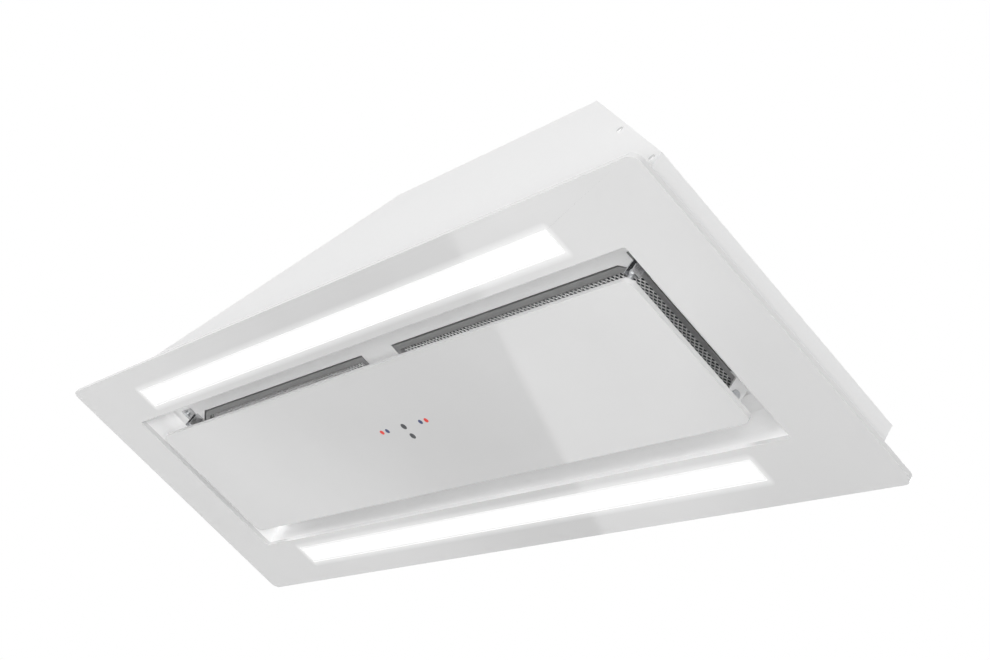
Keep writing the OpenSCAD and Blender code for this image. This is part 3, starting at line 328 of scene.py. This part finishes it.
# Which finish each node has, and the setting that rounds its edges: "edge", "fold", "roll" or none
FINISHES = {
    "glass_frame": ("glass", "edge"), "panel_glass": ("glass", "edge"),
    "touch_mark_dark": ("ink dark", None), "touch_mark_red": ("ink red", None),
    "touch_mark_blue": ("ink blue", None),
    "light_diffuser_front": ("acrylic", None), "light_diffuser_rear": ("acrylic", None),
    "light_housing_front": ("rolled", None), "light_housing_rear": ("rolled", None),
    "led_strip_front": ("lamp", None), "led_strip_rear": ("lamp", None),
    "casing_left": ("paint", None), "casing_top": ("paint", None), "casing_right": ("paint", None),
    "casing_front_panel": ("paint", None), "casing_rear_panel": ("paint", None),
    "casing_screws": ("screw painted shade", "fold"), "support_flange": ("galvanised", "fold"),
    "recess_tray": ("recess", "fold"), "panel_tray": ("recess", "fold"),
    "hinge_bracket_left": ("recess", "fold"), "hinge_bracket_right": ("recess", "fold"),
    "hinge_pins": ("zinc", "fold"), "hinge_arms": ("zinc", "fold"), "bracket_screws": ("zinc", "fold"),
    "catch_clip_left": ("spring", "fold"), "catch_clip_right": ("spring", "fold"),
    "catch_studs": ("zinc", None), "touch_board": ("board", None), "touch_cover": ("dark abs", "fold"),
    "filter_frame_left": ("etched", "roll"), "filter_frame_right": ("etched", "roll"),
    "filter_latch_left": ("dark abs", "fold"), "filter_latch_right": ("dark abs", "fold"),
    "blower_deck": ("galvanised", None), "scroll_lower": ("grey abs", None),
    "scroll_upper": ("grey abs", None), "scroll_screws": ("zinc", None), "impeller": ("dark abs", None),
    "motor_shaft": ("zinc", None), "impeller_nut": ("zinc", None), "motor_can": ("cast", None),
    "motor_bushes": ("rubber", None), "motor_screws": ("zinc", None),
    "run_capacitor": ("white abs", None), "capacitor_clip": ("zinc", None),
    "outlet_box": ("grey abs", None), "outlet_collar": ("dark abs", "fold"),
    "collar_screws": ("zinc", "fold"), "flap_axle": ("zinc", None),
    "flap_left": ("grey abs", "fold"), "flap_right": ("grey abs", "fold"),
    "control_box": ("white abs", None), "control_box_lid": ("white abs", None),
    "terminal_block": ("white abs", None), "led_driver": ("white abs", None),
    "cable_gland": ("dark abs", "fold"), "gland_nut": ("dark abs", None),
}


def finish_of(key):
    """The material of a finish, made with all the others at its first use."""
    names = bpy.context.scene.get("hood_finishes")
    if names is None:
        names = {finish: material.name for finish, material in make_materials().items()}
        bpy.context.scene["hood_finishes"] = names
    return bpy.data.materials[names[key]]


# Pieces

# Faces that meet at less than this many degrees shade as one curved surface
SMOOTH_ANGLE = 32
# Edges sharper than this many degrees are rounded, in this many facets
ROUND_ANGLE, ROUND_FACETS = 40, 2
# Points of a solid that lie this close are one point
SAME_POINT = 0.001 * MM
# How much a large face outweighs a small one where their shading meets
FLAT_WEIGHT = 100


def smooth(mesh):
    """Lets each face shade as part of a curve."""
    for face in mesh.polygons:
        face.use_smooth = True


def place_piece(name, mesh, node, finish):
    """A new piece that stands for a node, on its body."""
    piece = bpy.data.objects.new(name, mesh)
    bpy.context.scene.collection.objects.link(piece)
    mesh.materials.append(finish_of(finish))
    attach(piece, BODY_OF[node])
    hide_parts(node)
    return piece


def round_edges(node, finish, width, shape=None):
    """Stands for a CAD node with the same solid whose edges are rounded as a real edge is. shape may move
    its points first."""
    work = bmesh.new()
    work.from_mesh(frame["nodes"][node].data)
    bmesh.ops.remove_doubles(work, verts=work.verts, dist=SAME_POINT)
    if shape:
        shape(work)
    mesh = bpy.data.meshes.new("edged_" + node)
    work.to_mesh(mesh)
    work.free()
    smooth(mesh)
    piece = place_piece("edged_" + node, mesh, node, finish)
    bevel = piece.modifiers.new("Edge", "BEVEL")
    bevel.width = width
    bevel.segments = ROUND_FACETS
    bevel.limit_method = "ANGLE"
    bevel.angle_limit = math.radians(ROUND_ANGLE)
    # Large flat faces keep their own normals, so only the rounding itself is shaded as curved
    flat = piece.modifiers.new("Flat faces", "WEIGHTED_NORMAL")
    flat.weight = FLAT_WEIGHT


def dress(*nodes):
    """Gives nodes their finish, and rounds the edges of those whose edges show."""
    for node in nodes:
        finish, edge = FINISHES[node]
        if edge:
            round_edges(node, finish, getattr(settings(), edge))
        else:
            mesh = frame["nodes"][node].data
            mesh.materials.clear()
            mesh.materials.append(finish_of(finish))
            smooth(mesh)
            mesh.set_sharp_from_angle(angle=math.radians(SMOOTH_ANGLE))


class HOOD_OT_glass(bpy.types.Operator):
    """Glass frame, glass panel and the panel's printed touch marks"""

    bl_idname = "hood.glass"
    bl_label = "Glass and touch marks"

    def execute(self, context):
        dress("glass_frame", "panel_glass", "touch_mark_dark", "touch_mark_red", "touch_mark_blue")
        return {"FINISHED"}


class HOOD_OT_lights(bpy.types.Operator):
    """Light windows, their housings and strips"""

    bl_idname = "hood.lights"
    bl_label = "Lights"

    def execute(self, context):
        dress("light_diffuser_front", "light_diffuser_rear", "light_housing_front", "light_housing_rear",
              "led_strip_front", "led_strip_rear")
        return {"FINISHED"}


class HOOD_OT_casing(bpy.types.Operator):
    """Painted casing, its screws, and the support flange"""

    bl_idname = "hood.casing"
    bl_label = "Casing"

    def execute(self, context):
        dress("casing_left", "casing_top", "casing_right", "casing_front_panel", "casing_rear_panel",
              "casing_screws", "support_flange")
        return {"FINISHED"}


class HOOD_OT_recess(bpy.types.Operator):
    """Recess tray, hinges and catches, and the panel's backing tray with its touch board"""

    bl_idname = "hood.recess"
    bl_label = "Recess"

    def execute(self, context):
        dress("recess_tray", "hinge_bracket_left", "hinge_bracket_right", "hinge_pins", "hinge_arms",
              "catch_clip_left", "catch_clip_right", "catch_studs", "bracket_screws", "panel_tray",
              "touch_board", "touch_cover")
        return {"FINISHED"}


# What is cut off the two outer corners of each filter's mesh, along and across the hood
MESH_CUT = (14.0 * MM, 8.6 * MM)
# Strands run at 45 degrees, so each takes this share of its width off the corner of an opening
CORNER_SHARE = 0.7
# Height of the stretched sheet, and the share of it by which a strand rises to its outer edge
SHEET_HEIGHT, STRAND_RISE = 0.7 * MM, 0.5
# Corners of an opening: which way they lie along and across the hood, and their own share of the height
CORNERS = ((1, 0, -0.1), (0, 1, 0.5), (-1, 0, -0.1), (0, -1, 0.5))
# How high the first sheet lies over the underside of the filter's mesh, and each next one over the last
FIRST_SHEET, NEXT_SHEET = 0.1 * MM, 0.75 * MM
# Each sheet's openings are shifted by this share of their pitch from the last sheet's
SHEET_SHIFT = 0.31
# Thickness of the metal, and how close corners lie that are joined
METAL, JOIN = 0.35 * MM, 0.02 * MM


def past_cut(x, y, low, high, outer):
    """Whether a point of the mesh lies in a cut corner. outer is 1 where those are at the high X end, and
    -1 where they are at the low one."""
    end = high.x if outer > 0 else low.x
    across = abs(y - (low.y + high.y) / 2) - (high.y - low.y) / 2
    return (x - end) * outer / MESH_CUT[0] + across / MESH_CUT[1] > -1


def mesh_sheet(low, high, outer, lift, shift):
    """Expanded metal between two corners: rows of diamond openings whose strands stand on edge, as slit and
    stretched sheet has them. lift is the sheet's height, and shift moves its openings both ways."""
    verts, faces = [], []
    half = settings().mesh_pitch / 2
    hole = half - settings().mesh_strand * CORNER_SHARE
    columns = int((high.x - low.x) / half) - 1
    rows = int((high.y - low.y) / half) - 1
    start = Vector(((low.x + high.x - columns * half) / 2, (low.y + high.y - rows * half) / 2))
    for i in range(columns + 1):
        for j in range(rows + 1):
            # The openings lie like the squares of one colour on a chessboard
            if (i + j) % 2:
                continue
            x = start.x + i * half + shift
            y = start.y + j * half + shift
            if not (low.x < x < high.x and low.y < y < high.y) or past_cut(x, y, low, high, outer):
                continue
            first = len(verts)
            for out, rise in ((half, STRAND_RISE), (hole, 0.0)):
                for along, across, corner_rise in CORNERS:
                    verts.append((min(max(x + along * out, low.x), high.x),
                                  min(max(y + across * out, low.y), high.y),
                                  lift + SHEET_HEIGHT * (rise + corner_rise)))
            # Four strands lie between the four outer corners and the four of the hole
            for k in range(4):
                n = (k + 1) % 4
                faces.append((first + k, first + n, first + 4 + n, first + 4 + k))
    return verts, faces


def expanded_mesh(side, outer):
    """The mesh of one filter, in as many sheets as are set."""
    node = "filter_mesh_" + side
    low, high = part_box(node)
    verts, faces = [], []
    for layer in range(settings().mesh_layers):
        more, cells = mesh_sheet(low, high, outer, low.z + FIRST_SHEET + NEXT_SHEET * layer,
                                 layer * settings().mesh_pitch * SHEET_SHIFT)
        first = len(verts)
        verts += more
        faces += [tuple(first + v for v in cell) for cell in cells]
    mesh = bpy.data.meshes.new("expanded_mesh_" + side)
    mesh.from_pydata(verts, [], faces)
    mesh.update()
    piece = place_piece("expanded_mesh_" + side, mesh, node, "mesh")
    weld = piece.modifiers.new("Weld", "WELD")
    weld.merge_threshold = JOIN
    body = piece.modifiers.new("Thickness", "SOLIDIFY")
    body.thickness = METAL
    body.offset = 0


# Width of the filter frame's flat rim in the solid, and as its rolled section shows it
SOLID_RIM, SHOWN_RIM = 8 * MM, 5 * MM
# Points up to this height over the frame's lowest one belong to its underside
UNDERSIDE = 0.1 * MM
# How close a point lies to a side of the outline, or to the solid rim's inner edge, to be on it
ON_SIDE, ON_RIM = 0.01 * MM, 0.2 * MM
# Where two sides meet, so many turns at each of them bring a point onto both
RIM_TURNS = 20


def narrow_rim(side, outer):
    """A function that moves the inner edge of a filter frame's rim out to the rolled section's width."""
    points = [vert.co for vert in frame["nodes"]["filter_frame_" + side].data.vertices]
    lowest = min(p.z for p in points)
    under = [p for p in points if p.z < lowest + UNDERSIDE]
    low = Vector((min(p.x for p in under), min(p.y for p in under)))
    high = Vector((max(p.x for p in under), max(p.y for p in under)))
    end = high.x if outer > 0 else low.x
    # Inward normals and offsets of the outline's straight sides, the two cut corners among them
    sides = [(Vector((1, 0)), low.x), (Vector((-1, 0)), -high.x),
             (Vector((0, 1)), low.y), (Vector((0, -1)), -high.y)]
    on_end = max((p for p in under if abs(p.x - end) < ON_SIDE), key=lambda p: p.y)
    on_side = max((p for p in under if abs(p.y - high.y) < ON_SIDE), key=lambda p: p.x * outer)
    slant = Vector((-(on_end.y - on_side.y), on_end.x - on_side.x)).normalized()
    middle = Vector(((low.x + high.x) / 2, (low.y + high.y) / 2))
    for flip in (1, -1):
        inward = Vector((slant.x, slant.y * flip))
        corner = Vector((on_end.x, middle.y + (on_end.y - middle.y) * flip))
        if inward.dot(middle - corner) < 0:
            inward = -inward
        sides.append((inward, inward.dot(corner)))

    def shape(work):
        """Moves the points on the solid rim's inner edge."""
        for vert in work.verts:
            place = vert.co.xy
            near = [(normal, offset) for normal, offset in sides
                    if abs(normal.dot(place) - offset - SOLID_RIM) < ON_RIM]
            for _ in range(RIM_TURNS):
                for normal, offset in near:
                    place = place - normal * (normal.dot(place) - offset - SHOWN_RIM)
            vert.co.x, vert.co.y = place
    return shape


class HOOD_OT_filters(bpy.types.Operator):
    """Grease filters: frames with a rolled bead, sheets of expanded mesh, and latches"""

    bl_idname = "hood.filters"
    bl_label = "Grease filters"

    def execute(self, context):
        for side, outer in (("left", -1), ("right", 1)):
            finish, edge = FINISHES["filter_frame_" + side]
            round_edges("filter_frame_" + side, finish, getattr(settings(), edge), narrow_rim(side, outer))
            dress("filter_latch_" + side)
            expanded_mesh(side, outer)
        return {"FINISHED"}


class HOOD_OT_inside(bpy.types.Operator):
    """Blower, motor, outlet and electrics"""

    bl_idname = "hood.inside"
    bl_label = "Blower, outlet and electrics"

    def execute(self, context):
        dress("blower_deck", "scroll_lower", "scroll_upper", "scroll_screws", "impeller", "motor_shaft",
              "impeller_nut", "motor_can", "motor_bushes", "motor_screws", "run_capacitor", "capacitor_clip",
              "outlet_box", "outlet_collar", "collar_screws", "flap_axle", "flap_left", "flap_right",
              "control_box", "control_box_lid", "terminal_block", "led_driver", "cable_gland", "gland_nut")
        return {"FINISHED"}


# Stage

# Place and turn of the camera, the turn in degrees
CAMERA_PLACE = (1.18905, -0.44095, -0.67561)
CAMERA_TURN = (127.8366, -29.7532, 48.0767)
# Lens and sensor in millimetres, and how far the camera sees in metres
CAMERA_LENS, SENSOR, CAMERA_FAR = 63.732, 36.0, 100
# Height of the floor, and half its width
FLOOR_Z, FLOOR_HALF = -2.9, 60.0
# What the floor adds for the camera alone, so that it shows as a pale background
FLOOR_SHOWN = 0.6
# Share of the white surrounding that lights the hood
WORLD_LIT = 0.3
# Name, place, size and power in watts of each soft box, and the point that all of them face
SOFT_BOXES = (
    ("soft_box_front", (0, -2.6, -1.7), 2.0, 41),
    ("soft_box_below", (-0.2, -1.7, -2.5), 1.5, 24),
    ("soft_box_right", (3.2, -1.2, -1.85), 1.8, 88),
    ("soft_box_above", (0, 0.9, 3.2), 2.6, 50),
    ("soft_box_behind", (-2.4, 3.0, 1.6), 2.2, 60),
)
LIT_POINT = (0, 0, 0)
# Ends of the mirrored sheet along X and along Y, and its height over the floor
SHEET_LOW, SHEET_HIGH, SHEET_LIFT = -9.0, 7.0, 0.02
# Two points of the dark card's straight edge, where the mirror image on the glass turns from pale to dark,
# and half the width over which it does
CARD_EDGE = ((-3.879, 1.145), (-4.491, 2.598))
CARD_BLUR = 0.03
# Distances behind its edge between which the dark card pales to white
CARD_PALES = (0.3, 2.8)
# Between the first two distances along its edge, it pales sooner, at last by the third
SOONER_FROM, SOONER_TO, SOONER_BY = 1.2, 3.0, 2.2
# Which way the white card turns grey, between which distances, and how bright it stays
GREY_WAY = (0.77, 0.64, 0)
GREY_FROM, GREY_TO, GREY_LEVEL = -1.4, -0.95, 0.4


def mirrored_cards():
    """What the glass mirrors near the floor: a dark card that pales away from its edge, beside a white one
    that turns to pale grey further to the right."""
    material = bpy.data.materials.new("Studio cards")
    tree = empty_tree(material)
    place = add(tree, "TexCoord").outputs["Object"]
    start, end = (Vector((*point, 0)) for point in CARD_EDGE)
    along = (end - start).normalized()
    behind = Vector((-along.y, along.x, 0))

    def distance(direction, origin):
        """How far a place lies from an origin in one direction, in metres."""
        moved = add(tree, "VectorMath", {0: place, 1: origin}, operation="SUBTRACT").outputs[0]
        return add(tree, "VectorMath", {0: moved, 1: direction}, operation="DOT_PRODUCT").outputs["Value"]

    sooner = add(tree, "MapRange", {0: distance(along, start), 1: SOONER_FROM, 2: SOONER_TO, 3: 0.0,
                                    4: SOONER_BY}).outputs[0]
    edge = distance(behind, start)
    past = add(tree, "Math", {0: edge, 1: sooner}, operation="ADD").outputs[0]
    dark = add(tree, "MapRange", {0: past, 1: CARD_PALES[0], 2: CARD_PALES[1]},
               interpolation_type="SMOOTHSTEP").outputs[0]
    pale = add(tree, "MapRange", {0: distance(GREY_WAY, (0, 0, 0)), 1: GREY_FROM, 2: GREY_TO, 3: 1.0,
                                  4: GREY_LEVEL}, interpolation_type="SMOOTHSTEP").outputs[0]
    on_card = add(tree, "MapRange", {0: edge, 1: -CARD_BLUR, 2: CARD_BLUR}).outputs[0]
    shade = add(tree, "Mix", {0: on_card, 2: pale, 3: dark}, data_type="FLOAT").outputs[0]
    light = add(tree, "Emission", {"Color": WHITE, "Strength": shade})
    add(tree, "OutputMaterial", {"Surface": light.outputs[0]})
    return material


def studio_floor():
    """A dull pale floor that keeps the hood's shadow, and looks nearly white to the camera without lighting
    the hood."""
    material, tree, shader = blank("Pale studio floor", {
        "Base Color": linear("F5F5F5"), "Roughness": 1.0, "Specular IOR Level": 0.0, "Emission Color": WHITE})
    seen = add(tree, "LightPath").outputs["Is Camera Ray"]
    shown = add(tree, "MapRange", {0: seen, 3: 0.0, 4: FLOOR_SHOWN}).outputs[0]
    tree.links.new(shown, shader.inputs["Emission Strength"])
    return material


def level_sheet(name, low, high, height, material):
    """A flat square sheet of the studio, from low to high along X and along Y."""
    mesh = bpy.data.meshes.new(name)
    corners = [(low, low, height), (high, low, height), (high, high, height), (low, high, height)]
    mesh.from_pydata(corners, [], [(0, 1, 2, 3)])
    mesh.materials.append(material)
    sheet = bpy.data.objects.new(name, mesh)
    bpy.context.scene.collection.objects.link(sheet)
    return sheet


def seen_white(tree, shown, lit):
    """One colour for camera, mirror and glass rays, and another for the light that falls on the hood."""
    path = add(tree, "LightPath")
    seen = path.outputs["Is Camera Ray"]
    for ray in ("Is Glossy Ray", "Is Transmission Ray"):
        seen = add(tree, "Math", {0: seen, 1: path.outputs[ray]}, operation="MAXIMUM").outputs[0]
    return add(tree, "Mix", {0: seen, 6: lit, 7: shown}, data_type="RGBA").outputs[2]


def soft_box(name, place, size, power):
    """A square soft light that faces the hood, and that the camera doesn't see."""
    data = bpy.data.lights.new(name, "AREA")
    data.shape = "SQUARE"
    data.size = size
    data.energy = power
    box = bpy.data.objects.new(name, data)
    bpy.context.scene.collection.objects.link(box)
    box.location = place
    box.rotation_euler = (Vector(LIT_POINT) - Vector(place)).to_track_quat("-Z", "Y").to_euler()
    box.visible_camera = False


class HOOD_OT_stage(bpy.types.Operator):
    """Camera, pale floor, the cards that the glass mirrors, soft boxes and an even white surrounding"""

    bl_idname = "hood.stage"
    bl_label = "Studio"

    def execute(self, context):
        scene = context.scene
        scene.view_settings.view_transform = "Standard"
        data = bpy.data.cameras.new("Camera")
        data.lens = CAMERA_LENS
        data.sensor_width = SENSOR
        data.clip_end = CAMERA_FAR
        camera = bpy.data.objects.new("Camera", data)
        scene.collection.objects.link(camera)
        camera.location = CAMERA_PLACE
        camera.rotation_euler = [math.radians(angle) for angle in CAMERA_TURN]
        scene.camera = camera

        scene.world = bpy.data.worlds.new("Even white surrounding")
        tree = empty_tree(scene.world)
        colour = seen_white(tree, WHITE, (WORLD_LIT, WORLD_LIT, WORLD_LIT, 1))
        background = add(tree, "Background", {"Color": colour, "Strength": 1.0})
        add(tree, "OutputWorld", {"Surface": background.outputs[0]})

        level_sheet("floor", -FLOOR_HALF, FLOOR_HALF, FLOOR_Z, studio_floor())
        sheet = level_sheet("mirrored_sheet", SHEET_LOW, SHEET_HIGH, FLOOR_Z + SHEET_LIFT, mirrored_cards())
        for kind in ("camera", "diffuse", "shadow", "transmission"):
            setattr(sheet, "visible_" + kind, False)

        for box in SOFT_BOXES:
            soft_box(*box)
        return {"FINISHED"}


OPERATORS = (HOOD_OT_glass, HOOD_OT_lights, HOOD_OT_casing, HOOD_OT_recess, HOOD_OT_filters, HOOD_OT_inside,
             HOOD_OT_stage)


class HOOD_PT_panel(bpy.types.Panel):
    """The hood's sizes and colours, and its pieces in the order in which they are made"""

    bl_label = "Range hood"
    bl_idname = "HOOD_PT_panel"
    bl_space_type = "VIEW_3D"
    bl_region_type = "UI"
    bl_category = "Range hood"

    def draw(self, context):
        for name in HoodSettings.__annotations__:
            self.layout.prop(context.scene.range_hood, name)
        for operator in OPERATORS:
            self.layout.operator(operator.bl_idname)


CLASSES = (HoodSettings, *OPERATORS, HOOD_PT_panel)


def register():
    """Makes the settings, the operators and the panel known to Blender."""
    for each in CLASSES:
        bpy.utils.register_class(each)
    bpy.types.Scene.range_hood = PointerProperty(type=HoodSettings)


def unregister():
    """Takes the settings, the operators and the panel away again."""
    del bpy.types.Scene.range_hood
    for each in reversed(CLASSES):
        bpy.utils.unregister_class(each)


def main():
    register()
    for operator in (bpy.ops.hood.glass, bpy.ops.hood.lights, bpy.ops.hood.casing, bpy.ops.hood.recess,
                     bpy.ops.hood.filters, bpy.ops.hood.inside, bpy.ops.hood.stage):
        operator()


if __name__ == "__main__":
    main()
